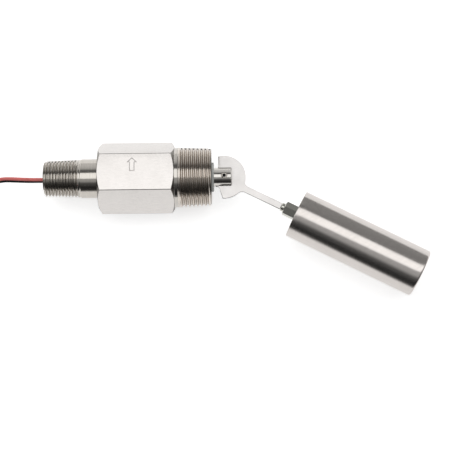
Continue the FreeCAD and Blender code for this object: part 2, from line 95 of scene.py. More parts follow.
def add_camera():
    forward = Vector((math.sin(CAMERA_AZIMUTH) * math.cos(CAMERA_ELEVATION),
                      math.cos(CAMERA_AZIMUTH) * math.cos(CAMERA_ELEVATION),
                      math.sin(CAMERA_ELEVATION)))
    level = Vector((math.cos(CAMERA_AZIMUTH), -math.sin(CAMERA_AZIMUTH), 0))
    above = level.cross(forward)
    right = level * math.cos(CAMERA_ROLL) + above * math.sin(CAMERA_ROLL)
    up = above * math.cos(CAMERA_ROLL) - level * math.sin(CAMERA_ROLL)
    data = bpy.data.cameras.new("camera")
    data.lens = CAMERA_LENS
    data.sensor_width = 36
    data.clip_start = 0.01
    camera = bpy.data.objects.new("camera", data)
    scene.collection.objects.link(camera)
    turn = Matrix((right, up, -forward)).transposed().to_4x4()
    camera.matrix_world = Matrix.Translation(CAMERA_PLACE) @ turn
    scene.camera = camera


add_camera()


# ---------------------------------------------------------------- node helpers
class Nodes:
    """The node tree of a material or of the world, with short calls for the nodes used here."""

    def __init__(self, owner, output_kind="ShaderNodeOutputMaterial"):
        self.owner = owner
        owner.use_nodes = True
        self.tree = owner.node_tree
        self.tree.nodes.clear()
        self.output = self.tree.nodes.new(output_kind)
        coordinates = self.add("ShaderNodeTexCoord").outputs
        self.place = coordinates["Object"]
        self.direction = coordinates["Generated"]

    def add(self, kind, inputs=None, **settings):
        node = self.tree.nodes.new(kind)
        for key, value in settings.items():
            setattr(node, key, value)
        for key, value in (inputs or {}).items():
            self.put(node.inputs[key], value)
        return node

    def put(self, socket, value):
        if isinstance(value, bpy.types.NodeSocket):
            self.tree.links.new(value, socket)
        else:
            socket.default_value = value

    def math(self, operation, first, second=0.0):
        node = self.add("ShaderNodeMath", {0: first, 1: second}, operation=operation)
        return node.outputs[0]

    def turned(self, vector, angle):
        """Coordinates turned about Y, so that X runs along the arm."""
        node = self.add("ShaderNodeVectorRotate", {"Vector": vector, "Angle": angle}, rotation_type="Y_AXIS")
        return node.outputs[0]

    def stretched(self, vector, scale):
        return self.add("ShaderNodeMapping", {"Vector": vector, "Scale": scale}).outputs[0]

    def noise(self, vector, scale, detail=3.0, roughness=0.5):
        node = self.add("ShaderNodeTexNoise", {
            "Vector": vector, "Scale": scale, "Detail": detail, "Roughness": roughness})
        return node.outputs["Fac"]

    def spread(self, value, low, high, to_low=0.0, to_high=1.0):
        node = self.add("ShaderNodeMapRange", {
            "Value": value, "From Min": low, "From Max": high, "To Min": to_low, "To Max": to_high})
        return node.outputs["Result"]

    def mix(self, factor, first, second, kind="RGBA"):
        node = self.add("ShaderNodeMix", data_type=kind)
        self.put(node.inputs["Factor"], factor)
        self.put(node.inputs["A"], first)
        self.put(node.inputs["B"], second)
        return node.outputs["Result"]

    def bump(self, height, strength, distance):
        node = self.add("ShaderNodeBump", {"Height": height, "Strength": strength, "Distance": distance})
        return node.outputs["Normal"]

    def surface(self, colour, roughness, normal, metallic=0.0, **settings):
        shader = self.add("ShaderNodeBsdfPrincipled", {
            "Base Color": colour, "Roughness": roughness, "Normal": normal, "Metallic": metallic})
        for key, value in settings.items():
            self.put(shader.inputs[key.replace("_", " ")], value)
        self.finish(shader)
        return self.owner

    def rays(self, *kinds):
        """1 where the ray is one of these kinds."""
        path = self.add("ShaderNodeLightPath")
        total = path.outputs[kinds[0]]
        for kind in kinds[1:]:
            total = self.math("MAXIMUM", total, path.outputs[kind])
        return total

    def finish(self, shader):
        self.put(self.output.inputs["Surface"], shader.outputs[0])


def rgb(red, green, blue, factor=1.0):
    return (red * factor, green * factor, blue * factor, 1.0)


# grain scales are in cycles per metre along X, Y and Z
GRAIN_RINGS = (2600, 60, 60)
GRAIN_ALONG = (90, 1800, 1800)
GRAIN_FLAT = (500, 900, 1500)
THREAD_GRAIN = (4200, 110, 110)
STEEL_RELIEF = 0.02 * MM           # height of the bump at strength 1
THREAD_RELIEF = 0.03 * MM
MATT_RELIEF = 0.04 * MM
STAIN_COLOUR = (0.30, 0.27, 0.23)
SCRATCH_STRETCH = 0.37             # scratches are this much coarser than the grain


def steel(name, colour, rough, grain=GRAIN_RINGS, angle=0.0, contrast=0.12, bump=0.25, blotch=160.0,
          stain=0.1, anisotropic=0.0):
    """Bare steel: grain lines, faint blotches, and scratches here and there."""
    n = Nodes(bpy.data.materials.new(name))
    place = n.turned(n.place, angle) if angle else n.place
    lines = n.noise(n.stretched(place, grain), 1.0, 4.0, 0.62)
    clouds = n.noise(place, blotch, 4.0, 0.6)
    coarse = n.stretched(place, [value * SCRATCH_STRETCH for value in grain])
    scratch = n.spread(n.noise(coarse, 1.0, 6.0, 0.75), 0.60, 0.72)
    tone = n.mix(n.spread(lines, 0.3, 0.7), rgb(*colour, 1 - contrast), rgb(*colour, 1 + contrast * 0.4))
    tone = n.mix(n.spread(clouds, 0.42, 0.75, 0.0, stain), tone, rgb(*STAIN_COLOUR))
    tone = n.mix(n.math("MULTIPLY", scratch, contrast), tone, rgb(*colour, 0.45))
    roughness = n.spread(n.math("ADD", n.math("MULTIPLY", lines, 0.6), n.math("MULTIPLY", clouds, 0.4)),
                         0.3, 0.7, rough * 0.82, rough * 1.2)
    height = n.math("SUBTRACT", lines, n.math("MULTIPLY", scratch, 0.7))
    return n.surface(tone, roughness, n.bump(height, bump, STEEL_RELIEF), 1.0, Anisotropic=anisotropic)


def threaded_steel(name, colour, rough, small_end, small_radius, step, depth):
    """Cut thread: grain lines, and patchy painted shade in the roots, darker the deeper the cut."""
    n = Nodes(bpy.data.materials.new(name))
    x, y, z = n.add("ShaderNodeSeparateXYZ", {"Vector": n.place}).outputs
    radius = n.math("SQRT", n.math("ADD", n.math("MULTIPLY", y, y), n.math("MULTIPLY", z, z)))
    along = n.math("MULTIPLY", n.math("SUBTRACT", x, small_end * MM), step)
    crest = n.math("ADD", n.math("MULTIPLY", n.math("MAXIMUM", along, 0.0), THREAD_TAPER), small_radius * MM)
    sunk = n.spread(n.math("SUBTRACT", crest, radius), 0.0, depth * MM)
    in_thread = n.spread(radius, (small_radius - depth - 0.7) * MM, (small_radius - depth - 0.5) * MM)
    lines = n.noise(n.stretched(n.place, THREAD_GRAIN), 1.0, 5.0, 0.7)
    clouds = n.noise(n.place, 220.0, 4.0, 0.65)
    tone = n.mix(n.spread(lines, 0.35, 0.65), rgb(*colour, 0.62), rgb(*colour, 1.25))
    # painted shade: the roots are darkened by their depth, patchily
    root_shade = n.math("MULTIPLY", n.math("POWER", sunk, 1.3), n.spread(clouds, 0.3, 0.7, 0.55, 1.0))
    tone = n.mix(n.math("MULTIPLY", root_shade, in_thread), tone, rgb(*colour, 0.75))
    roughness = n.spread(n.math("ADD", n.math("MULTIPLY", lines, 0.5), n.math("MULTIPLY", sunk, 0.5)),
                         0.1, 0.9, rough * 0.8, rough * 1.5)
    return n.surface(tone, roughness, n.bump(lines, 0.3, THREAD_RELIEF), 1.0)


def matt(name, colour, rough, vary=0.12, scale=700.0, bump=0.2, **settings):
    """Moulded plastic, rubber or paint: faint mottling and a fine orange-peel surface."""
    n = Nodes(bpy.data.materials.new(name))
    fine = n.noise(n.place, scale * 4, 3.0, 0.55)
    clouds = n.noise(n.place, scale * 0.3, 4.0, 0.6)
    tone = n.mix(n.spread(clouds, 0.3, 0.7), rgb(*colour, 1 - vary), rgb(*colour, 1 + vary))
    roughness = n.spread(fine, 0.3, 0.7, rough * 0.9, min(rough * 1.12, 1.0))
    return n.surface(tone, roughness, n.bump(fine, bump, MATT_RELIEF), 0.0, **settings)


def give(obj, material):
    obj.data.materials.clear()
    obj.data.materials.append(material)


# ---------------------------------------------------------------- leads
LEAD_DIAMETER = 1.8
RED_ROUTE = [(-70.4, -0.9, -0.35), (-77.0, -0.9, -0.35), (-83.5, -0.9, -0.15), (-99.5, -1.3, 0.75),
             (-106.1, -1.75, -6.4)]
BLACK_ROUTE = [(-70.4, 0.9, -1.0), (-77.0, 0.9, -1.0), (-84.0, 0.9, -0.95), (-100.0, 1.3, 0.0),
               (-106.3, 1.75, -7.4)]
COIL_CENTRE = (-117.8, -23.0)
COIL_TURNS = [(12.3, 2.75), (12.3, 0.95), (10.5, 0.95), (10.5, 2.75), (8.7, 2.75), (8.7, 0.95)]
COIL_LAST_TURN = (6.95, 1.2)
COIL_START = math.radians(20)
POINTS_PER_TURN = 16
POINTS_IN_CROSSING = 3


def coil_points(side, last_part):
    """Turns that lie beside and on each other, going down from the right-hand side."""
    stations = []
    for turn, (radius, column) in enumerate(COIL_TURNS):
        following = (COIL_TURNS + [COIL_LAST_TURN])[turn + 1]
        for step in range(POINTS_PER_TURN):
            blend = max(0.0, step - (POINTS_PER_TURN - POINTS_IN_CROSSING)) / POINTS_IN_CROSSING
            stations.append((radius + (following[0] - radius) * blend,
                             column + (following[1] - column) * blend))
    stations += [COIL_LAST_TURN] * (int(POINTS_PER_TURN * last_part) + 1)
    half_step = math.pi / POINTS_PER_TURN
    points = []
    for number, (radius, column) in enumerate(stations):
        angle = COIL_START - 2 * half_step * number
        out = radius / math.cos(half_step)
        points.append((COIL_CENTRE[0] + out * math.cos(angle), side * column,
                       COIL_CENTRE[1] + out * math.sin(angle)))
    return points


def add_lead(name, points, material):
    data = bpy.data.curves.new(name, "CURVE")
    data.dimensions = "3D"
    spline = data.splines.new("NURBS")
    spline.points.add(len(points) - 1)
    for point, place in zip(spline.points, points):
        point.co = (*[value * MM for value in place], 1.0)
    spline.order_u = 3
    spline.use_endpoint_u = True
    data.resolution_u = 5
    data.bevel_depth = LEAD_DIAMETER / 2 * MM
    data.bevel_resolution = 4
    data.use_fill_caps = True
    lead = bpy.data.objects.new(name, data)
    scene.collection.objects.link(lead)
    data.materials.append(material)
    return lead


def add_strands(name, points, material):
    """Tinned end of a stranded wire: a twisted bundle carried on from the lead's last points."""
    last = Vector(points[-1])
    along = (last - Vector(points[-2])).normalized()
    side_way = along.cross(Vector((0, 1, 0))).normalized()
    other = along.cross(side_way)
    bm = bmesh.new()
    strands, rings, around = 7, 14, 8
    length, twist, radius = 7.0, 2.2, 0.2
    for strand in range(strands):
        offset = 0.0 if strand == 0 else 2 * radius
        rows = []
        for ring in range(rings):
            share = ring / (rings - 1)
            turn = 2 * math.pi * (strand / (strands - 1) + twist * share)
            middle = last + along * (length * share - 0.3)
            middle += (side_way * math.cos(turn) + other * math.sin(turn)) * offset
            rows.append([bm.verts.new((middle + (side_way * math.cos(a) + other * math.sin(a)) * radius) * MM)
                         for a in (2 * math.pi * k / around for k in range(around))])
        for first, second in zip(rows, rows[1:]):
            for k in range(around):
                bm.faces.new((first[k], first[(k + 1) % around], second[(k + 1) % around], second[k]))
        bm.faces.new(rows[0])
        bm.faces.new(rows[-1][::-1])
    piece = mesh_piece(name, bm, sharp_above=60)
    give(piece, material)
    return piece


# ---------------------------------------------------------------- mesh helpers
def mesh_piece(name, bm, sharp_above=35.0):
    """Turns a bmesh into a linked object, smooth except at sharp edges."""
    bmesh.ops.recalc_face_normals(bm, faces=bm.faces)
    mesh = bpy.data.meshes.new(name)
    bm.to_mesh(mesh)
    bm.free()
    mesh.polygons.foreach_set("use_smooth", [True] * len(mesh.polygons))
    mesh.set_sharp_from_angle(angle=math.radians(sharp_above))
    obj = bpy.data.objects.new(name, mesh)
    scene.collection.objects.link(obj)
    return obj


def softened(outline, edge=EDGE):
    """A closed (x, radius) outline with each corner turned into a small rounded one."""
    result = []
    count = len(outline)
    for number, corner in enumerate(outline):
        here = Vector(corner)
        before = Vector(outline[number - 1]) - here
        after = Vector(outline[(number + 1) % count]) - here
        reach = min(edge, before.length * 0.4, after.length * 0.4)
        first = here + before.normalized() * reach
        last = here + after.normalized() * reach
        result += [tuple(first), tuple((first + last) / 4 + here / 2), tuple(last)]
    return result


def close_rows(bm, rows, closed=True):
    """Faces between neighbouring rows of vertices, each row a ring."""
    pairs = list(zip(rows, rows[1:]))
    if closed:
        pairs.append((rows[-1], rows[0]))
    count = len(rows[0])
    for first, second in pairs:
        for k in range(count):
            after = (k + 1) % count
            bm.faces.new((first[k], first[after], second[after], second[k]))


def ring_row(bm, angles, place):
    """One ring; place(angle) gives (x, radius)."""
    row = []
    for angle in angles:
        x, radius = place(angle)
        row.append(bm.verts.new((x * MM, radius * math.sin(angle) * MM, radius * math.cos(angle) * MM)))
    return row


def even_angles(count):
    return [2 * math.pi * k / count for k in range(count)]


def lathe(name, outline, count=96, edge=EDGE):
    """Solid of revolution about X from a closed outline that stays off the axis."""
    bm = bmesh.new()
    angles = even_angles(count)
    rows = [ring_row(bm, angles, lambda angle, p=point: p) for point in softened(outline, edge)]
    close_rows(bm, rows)
    return mesh_piece(name, bm)


def onto_arm(obj):
    """Places a piece made along X from the pivot onto the arm's middle line."""
    move = (Matrix.Translation((PIVOT_X * MM, 0, 0)) @ Matrix.Rotation(ARM_DROOP, 4, "Y")
            @ Matrix.Translation((0, 0, -STRIP_OFFSET * MM)))
    obj.data.transform(move)
    return obj


def thread_rows(bm, angles, small_end, step, length, small_radius, pitch, run_out, mouth=0.55):
    """Rows of a right-hand tapered thread from its small end, with a chamfered mouth."""
    depth = pitch * THREAD_DEPTH
    per_pitch = 12
    flat_half = 0.08
    groove_half = 0.42

    def cut(phase):
        """How deep the groove is at this part of a pitch, 0 to 1."""
        off = abs((phase % 1.0) - 0.5)
        return min(1.0, max(0.0, (groove_half - off) / (groove_half - flat_half)))

    def place(position, angle):
        along = min(max(position + pitch * (angle / (2 * math.pi)), 0.0), length)
        phase = (along - pitch * (angle / (2 * math.pi))) / pitch
        crest = small_radius + along * THREAD_TAPER
        fade = min(1.0, max(0.0, (length - along) / run_out))
        radius = crest - depth * cut(phase) * fade
        return small_end + step * along, min(radius, small_radius - mouth + along)

    rows = []
    count = int((length + 2 * pitch) / pitch * per_pitch)
    for number in range(count + 1):
        position = number * pitch / per_pitch - pitch
        rows.append(ring_row(bm, angles, lambda angle, p=position: place(p, angle)))
    return rows


# ---------------------------------------------------------------- hexagon body
FLANK_STEPS = 28
CHAMFER_FALL = 0.03                # how far the ring at the chamfer's edge sinks to round it
SKIN_RADIUS = 14.3                 # outside this radius a face of the threaded end is outer skin
WELD = 0.002                       # vertices closer than this are one


def add_hex_body(*materials):
    """Materials: flats, thread, land, and painted shade for the corners, chamfers and the thread's end face.
    """
    bm = bmesh.new()
    corner_cut = math.degrees(math.acos(HEX_FLATS / 2 / HEX_CORNER_RADIUS))
    spread = [-corner_cut + 2 * corner_cut * k / FLANK_STEPS for k in range(FLANK_STEPS + 1)]
    angles = []
    for side in range(6):
        middle = 30 + 60 * side
        angles += [math.radians(middle + offset) for offset in spread]

    def hex_radius(angle):
        off = (math.degrees(angle) % 60) - 30
        return min(HEX_FLATS / 2 / math.cos(math.radians(off)), HEX_CORNER_RADIUS)

    def on_chamfer(angle):
        return (hex_radius(angle) - HEX_END_RADIUS) * math.tan(HEX_CHAMFER)

    def ring(x, radius):
        return ring_row(bm, angles, lambda angle: (x, radius))

    def chamfer_ring(end, inward, back):
        """Ring by the chamfer's outer edge: down the chamfer (back above 0) or along the flats."""
        along = back * math.sin(HEX_CHAMFER) if back > 0 else back
        down = back * math.cos(HEX_CHAMFER) if back > 0 else 0.0
        fall = CHAMFER_FALL if back == 0 else 0.0
        return ring_row(bm, angles, lambda angle: (
            end + inward * (on_chamfer(angle) - along), hex_radius(angle) - down - fall))

    rise_x, rise_radius = EDGE * math.sin(HEX_CHAMFER), EDGE * math.cos(HEX_CHAMFER) * 0.3
    rows = [ring(SHOULDER_X, CHAMBER_RADIUS), ring(SHOULDER_X, HEX_END_RADIUS - EDGE),
            ring(SHOULDER_X + rise_x, HEX_END_RADIUS + rise_radius)]
    rows += [chamfer_ring(SHOULDER_X, 1, back) for back in (EDGE, 0.0, -EDGE)]
    rows += [chamfer_ring(0.0, -1, back) for back in (-EDGE, 0.0, EDGE)]
    rows += [ring(-rise_x, HEX_END_RADIUS + rise_radius), ring(0, HEX_END_RADIUS - EDGE),
             ring(0, LAND_RADIUS + 0.1), ring(0.1, LAND_RADIUS), ring(LAND_END - 0.1, LAND_RADIUS)]
    thread = thread_rows(bm, angles, PROCESS_END, -1, PROCESS_END - LAND_END, PROCESS_SMALL_RADIUS,
                         PROCESS_PITCH, 2.0)
    rows += thread[::-1]
    rows += [ring(PROCESS_END, TAIL_RADIUS), ring(CHAMBER_END, TAIL_RADIUS)]
    rows.append(ring(CHAMBER_END, CHAMBER_RADIUS))
    close_rows(bm, rows)
    bmesh.ops.remove_doubles(bm, verts=bm.verts, dist=WELD * MM)
    body = mesh_piece("hex_body_skin", bm, 25)
    cut_arrow(body)
    body.data.materials.clear()
    for material in materials:
        body.data.materials.append(material)
    for polygon in body.data.polygons:
        x, radius = polygon.center.x / MM, polygon.center.yz.length / MM
        # painted shade: the thread's end face, the hexagon's corner strips and its chamfers take the last,
        # dark slot
        if x > PROCESS_END - 0.5 and polygon.normal.x > 0.5:
            polygon.material_index = 3
        elif x > LAND_END + 0.05 and radius > SKIN_RADIUS:
            polygon.material_index = 1
        elif x > 0.05 and radius > SKIN_RADIUS:
            polygon.material_index = 2
        elif radius > HEX_CORNER_RADIUS - 0.05 or (abs(polygon.normal.x) > 0.5 and HEX_END_RADIUS < radius):
            polygon.material_index = 3
    return body


ARROW_MIDDLE = -22.75
ARROW = [(0.0, 7.8), (2.9, 5.1), (1.45, 5.1), (1.45, 0.3), (-1.45, 0.3), (-1.45, 5.1), (-2.9, 5.1)]
ARROW_LINE = 0.42
ARROW_DEPTH = 0.3
ARROW_ROUND = 0.25


def inset(points, distance):
    """A closed outline moved inward; its points run clockwise seen from -Y."""
    moved = []
    count = len(points)
    for number, point in enumerate(points):
        here = Vector(point)
        back = (here - Vector(points[number - 1])).normalized()
        ahead = (Vector(points[(number + 1) % count]) - here).normalized()
        normal = (Vector((back.y, -back.x)) + Vector((ahead.y, -ahead.x))).normalized()
        share = normal.dot(Vector((back.y, -back.x)))
        moved.append(tuple(here + normal * distance / share))
    return moved


def rounded_outline(points, radius, steps=4):
    result = []
    count = len(points)
    for number, point in enumerate(points):
        here = Vector(point)
        before = (Vector(points[number - 1]) - here).normalized() * radius
        after = (Vector(points[(number + 1) % count]) - here).normalized() * radius
        for step in range(steps + 1):
            t = step / steps
            result.append(tuple(here + before * (1 - t) ** 2 + after * t ** 2))
    return result


def cut_arrow(body):
    """Engraves the arrow's outline as a groove with sloping sides."""
    face = -HEX_FLATS / 2
    rings = [(face - 0.3, 0.0), (face - 0.3, ARROW_LINE), (face, ARROW_LINE),
             (face + ARROW_DEPTH, ARROW_LINE * 0.68), (face + ARROW_DEPTH, ARROW_LINE * 0.32), (face, 0.0)]
    bm = bmesh.new()
    rows = []
    for y, distance in rings:
        points = rounded_outline(inset(ARROW, distance), ARROW_ROUND)
        rows.append([bm.verts.new(((ARROW_MIDDLE + x) * MM, y * MM, z * MM)) for x, z in points])
    close_rows(bm, rows)
    cutter = mesh_piece("arrow_cutter", bm)
    cut_with(body, cutter)


def cut_with(body, *cutters):
    """Boolean difference, applied, and the cutters removed."""
    for cutter in cutters:
        modifier = body.modifiers.new("cut", "BOOLEAN")
        modifier.operation = "DIFFERENCE"
        modifier.solver = "EXACT"
        modifier.object = cutter
    apply_modifiers(body)
    for cutter in cutters:
        bpy.data.objects.remove(cutter)


def apply_modifiers(obj, sharp_above=25.0):
    evaluated = obj.evaluated_get(bpy.context.evaluated_depsgraph_get())
    mesh = bpy.data.meshes.new_from_object(evaluated)
    obj.modifiers.clear()
    obj.data = mesh
    mesh.polygons.foreach_set("use_smooth", [True] * len(mesh.polygons))
    mesh.set_sharp_from_angle(angle=math.radians(sharp_above))


# ---------------------------------------------------------------- conduit nipple
SEAM = 0.35                        # narrow groove where the nipple meets the hexagon, coloured with painted shade
NIPPLE_SKIN_RADIUS = 8.3           # outside this radius a face of the nipple's end is thread


def add_nipple(*materials):
    """Materials: shank, thread, and painted shade for the seam."""
    bm = bmesh.new()
    angles = even_angles(128)

    def rings(points):
        return [ring_row(bm, angles, lambda angle, p=point: p) for point in points]

    rows = rings([(CONDUIT_END, NIPPLE_BORE_RADIUS + 0.15)])
    rows += thread_rows(bm, angles, CONDUIT_END, 1, SHANK_END - CONDUIT_END, CONDUIT_SMALL_RADIUS,
                        CONDUIT_PITCH, 3.2, 0.7)
    floor_start, floor_end, floor_radius = SEAL_GROOVE
    rows += rings([
        (SHANK_END + 0.05, SHANK_RADIUS - 0.1), (SHANK_END + 0.25, SHANK_RADIUS),
        (SHOULDER_X - SEAM, SHANK_RADIUS),
        (SHOULDER_X - SEAM + 0.05, SHANK_RADIUS - 0.04), (SHOULDER_X - 0.05, SHANK_RADIUS - 0.04),
        (SHOULDER_X, SHANK_RADIUS - 0.05), (SHOULDER_X, SPIGOT_RADIUS), (floor_start, SPIGOT_RADIUS),
        (floor_start, floor_radius), (floor_end, floor_radius), (floor_end, SPIGOT_RADIUS),
        (SPIGOT_END - 0.3, SPIGOT_RADIUS), (SPIGOT_END, SPIGOT_RADIUS - 0.3),
        (SPIGOT_END, WIRE_PASSAGE_RADIUS),
        (POTTING_BACK, WIRE_PASSAGE_RADIUS), (POTTING_BACK, NIPPLE_BORE_RADIUS),
        (CONDUIT_END + 0.15, NIPPLE_BORE_RADIUS)])
    close_rows(bm, rows)
    bmesh.ops.remove_doubles(bm, verts=bm.verts, dist=WELD * MM)
    nipple = mesh_piece("conduit_nipple_skin", bm, 25)
    for material in materials:
        nipple.data.materials.append(material)
    for polygon in nipple.data.polygons:
        x, radius = polygon.center.x / MM, polygon.center.yz.length / MM
        if x < SHANK_END - 0.02 and radius > NIPPLE_SKIN_RADIUS:
            polygon.material_index = 1
        # painted shade: the seam's faces take the dark corner steel
        elif SHOULDER_X - SEAM < x < SHOULDER_X and radius > SPIGOT_RADIUS:
            polygon.material_index = 2
    return nipple


# ---------------------------------------------------------------- float
FLOAT_RIM = 0.4                    # length of the rolled rim
FLOAT_DISH = 0.15                  # how far the end's middle is dished
AXIS_GAP = 0.02                    # an outline stays this far off its axis


def add_float(material):
    """Drawn cup: rolled rim at the near end, rounded far end."""
    start, end = FLOAT_START, FLOAT_START + FLOAT_LENGTH
    side_start, side_end = start + FLOAT_RIM, end - FLOAT_ROUND
    outline = [(start, FLOAT_RADIUS - FLOAT_WALL), (start + 0.02, FLOAT_RADIUS - 0.32),
               (start, FLOAT_RADIUS - 0.16), (start + 0.14, FLOAT_RADIUS - 0.03), (side_start, FLOAT_RADIUS)]
    steps = 24
    for k in range(1, steps):
        outline.append((side_start + (side_end - side_start) * k / steps, FLOAT_RADIUS))
    arc = 8
    for k in range(arc + 1):
        turn = math.pi / 2 * k / arc
        outline.append((end - FLOAT_ROUND * (1 - math.sin(turn)),
                        FLOAT_RADIUS - FLOAT_ROUND * (1 - math.cos(turn))))
    for radius in (11.0, 9.0, 7.0, 5.0, 3.0, 1.0, AXIS_GAP):
        outline.append((end - FLOAT_DISH * (1 - (radius / 12) ** 2), radius))
    inside = end - FLOAT_WALL - 0.2
    outline += [(inside, AXIS_GAP), (inside, FLOAT_RADIUS - 1.6), (end - 1.6, FLOAT_RADIUS - FLOAT_WALL)]
    bm = bmesh.new()
    angles = even_angles(144)
    rows = [ring_row(bm, angles, lambda angle, p=point: p) for point in outline]
    close_rows(bm, rows)
    shell = onto_arm(mesh_piece("float_shell_skin", bm, 40))
    give(shell, material)
    return shell


# ---------------------------------------------------------------- arm plate and pivot pin
PLATE_RADIUS = 12.0
PLATE_HALF = 0.8
PLATE_HOLE_RADIUS = 1.4
PLATE_BACK = [(-3.3, 11.537), (-3.3, 1.267), (-4.567, 0.0), (-4.567, -5.425), (-2.858, -5.525),
              (-1.015, -11.957)]
STRIP_EDGES = (-2.65, 0.95)        # lower and upper edge, square from the line through the pivot
STRIP_END = 40.9
FILLETS = (3.6, 2.5)
PLATE_EDGE = 0.2


def plate_outline():
    """Closed outline of the fan and its strip, (x, z) from the pivot, with rounded roots."""
    cos, sin = math.cos(ARM_DROOP), math.sin(ARM_DROOP)

    def from_arm(along, square):
        return (along * cos + square * sin, square * cos - along * sin)

    def arc(centre, radius, first, last, steps):
        return [(centre[0] + radius * math.cos(first + (last - first) * k / steps),
                 centre[1] + radius * math.sin(first + (last - first) * k / steps)) for k in range(steps + 1)]

    roots = []
    for side, edge, radius in zip((-1, 1), STRIP_EDGES, FILLETS):
        square = edge + side * radius
        along = math.sqrt((PLATE_RADIUS + radius) ** 2 - square ** 2)
        toward_pivot = math.atan2(-square, -along)
        to_strip = -side * math.pi / 2
        if side > 0 and toward_pivot > 0:
            toward_pivot -= 2 * math.pi
        fillet = arc((along, square), radius, toward_pivot, to_strip, 10)
        roots.append(([from_arm(*point) for point in fillet], math.atan2(square, along) - ARM_DROOP))
    (lower, lower_angle), (upper, upper_angle) = roots
    bottom = math.atan2(PLATE_BACK[-1][1], PLATE_BACK[-1][0])
    top = math.atan2(PLATE_BACK[0][1], PLATE_BACK[0][0])
    points = PLATE_BACK[:-1] + arc((0, 0), PLATE_RADIUS, bottom, lower_angle, 28)[:-1] + lower
    points += [from_arm(STRIP_END, edge) for edge in STRIP_EDGES] + upper[::-1]
    return points + arc((0, 0), PLATE_RADIUS, upper_angle, top, 36)[1:-1]


def add_arm_plate(face_material, edge_material):
    bm = bmesh.new()
    rows = [[bm.verts.new(((PIVOT_X + x) * MM, y * MM, z * MM)) for x, z in plate_outline()]
            for y in (-PLATE_HALF, PLATE_HALF)]
    caps = [bm.faces.new(rows[0]), bm.faces.new(rows[1][::-1])]
    close_rows(bm, rows, False)
    rims = {edge for cap in caps for edge in cap.edges}
    bmesh.ops.bevel(bm, geom=list(rims), offset=PLATE_EDGE * MM, segments=2, profile=0.5, affect="EDGES")
    plate = mesh_piece("arm_plate_skin", bm, 20)
    bore = bmesh.new()
    rows = [[bore.verts.new(((PIVOT_X + PLATE_HOLE_RADIUS * math.cos(a)) * MM, y * MM,
                             PLATE_HOLE_RADIUS * math.sin(a) * MM)) for a in even_angles(32)]
            for y in (-2, 2)]
    bore.faces.new(rows[0])
    bore.faces.new(rows[1])
    close_rows(bore, rows, False)
    cut_with(plate, mesh_piece("bore_cutter", bore))
    plate.data.materials.clear()
    plate.data.materials.append(face_material)
    plate.data.materials.append(edge_material)
    for polygon in plate.data.polygons:
        # painted shade: the rim and bevel faces take the darkened sheared steel
        if abs(polygon.normal.y) < 0.95:
            polygon.material_index = 1
    return plate


PIN_RADIUS = 1.35
PIN_BORE_RADIUS = 0.95
PIN_HALF = 4.975
PIN_SPLIT_ANGLE = math.radians(225)
PIN_SPLIT = math.radians(24)


def add_pivot_pin(material, bore_shade_material):
    """Rolled spring pin: a split tube with chamfered ends."""
    ease = 0.18
    section = [(-PIN_HALF, PIN_RADIUS - ease), (-PIN_HALF + ease, PIN_RADIUS), (PIN_HALF - ease, PIN_RADIUS),
               (PIN_HALF, PIN_RADIUS - ease), (PIN_HALF, PIN_BORE_RADIUS + 0.06),
               (PIN_HALF - 0.06, PIN_BORE_RADIUS),
               (-PIN_HALF + 0.06, PIN_BORE_RADIUS), (-PIN_HALF, PIN_BORE_RADIUS + 0.06)]
    steps = 40
    bm = bmesh.new()
    rows = []
    for k in range(steps + 1):
        turn = PIN_SPLIT_ANGLE + PIN_SPLIT / 2 + (2 * math.pi - PIN_SPLIT) * k / steps
        rows.append([bm.verts.new(((PIVOT_X + radius * math.cos(turn)) * MM, y * MM,
                                   radius * math.sin(turn) * MM)) for y, radius in section])
    close_rows(bm, rows, False)
    bm.faces.new(rows[0])
    bm.faces.new(rows[-1][::-1])
    pin = mesh_piece("pivot_pin_skin", bm)
    pin.data.materials.append(material)
    pin.data.materials.append(bore_shade_material)
    middle = Vector((PIVOT_X * MM, 0))
    for polygon in pin.data.polygons:
        out = (polygon.center.xz - middle).length / MM
        # painted shade: the bore's inner faces take the near-black bore colour
        if out < PIN_BORE_RADIUS + 0.02 and abs(polygon.center.y) < (PIN_HALF - 0.04) * MM:
            polygon.material_index = 1
    return pin


# ---------------------------------------------------------------- cable tie
TIE_ANGLE = math.radians(-35)


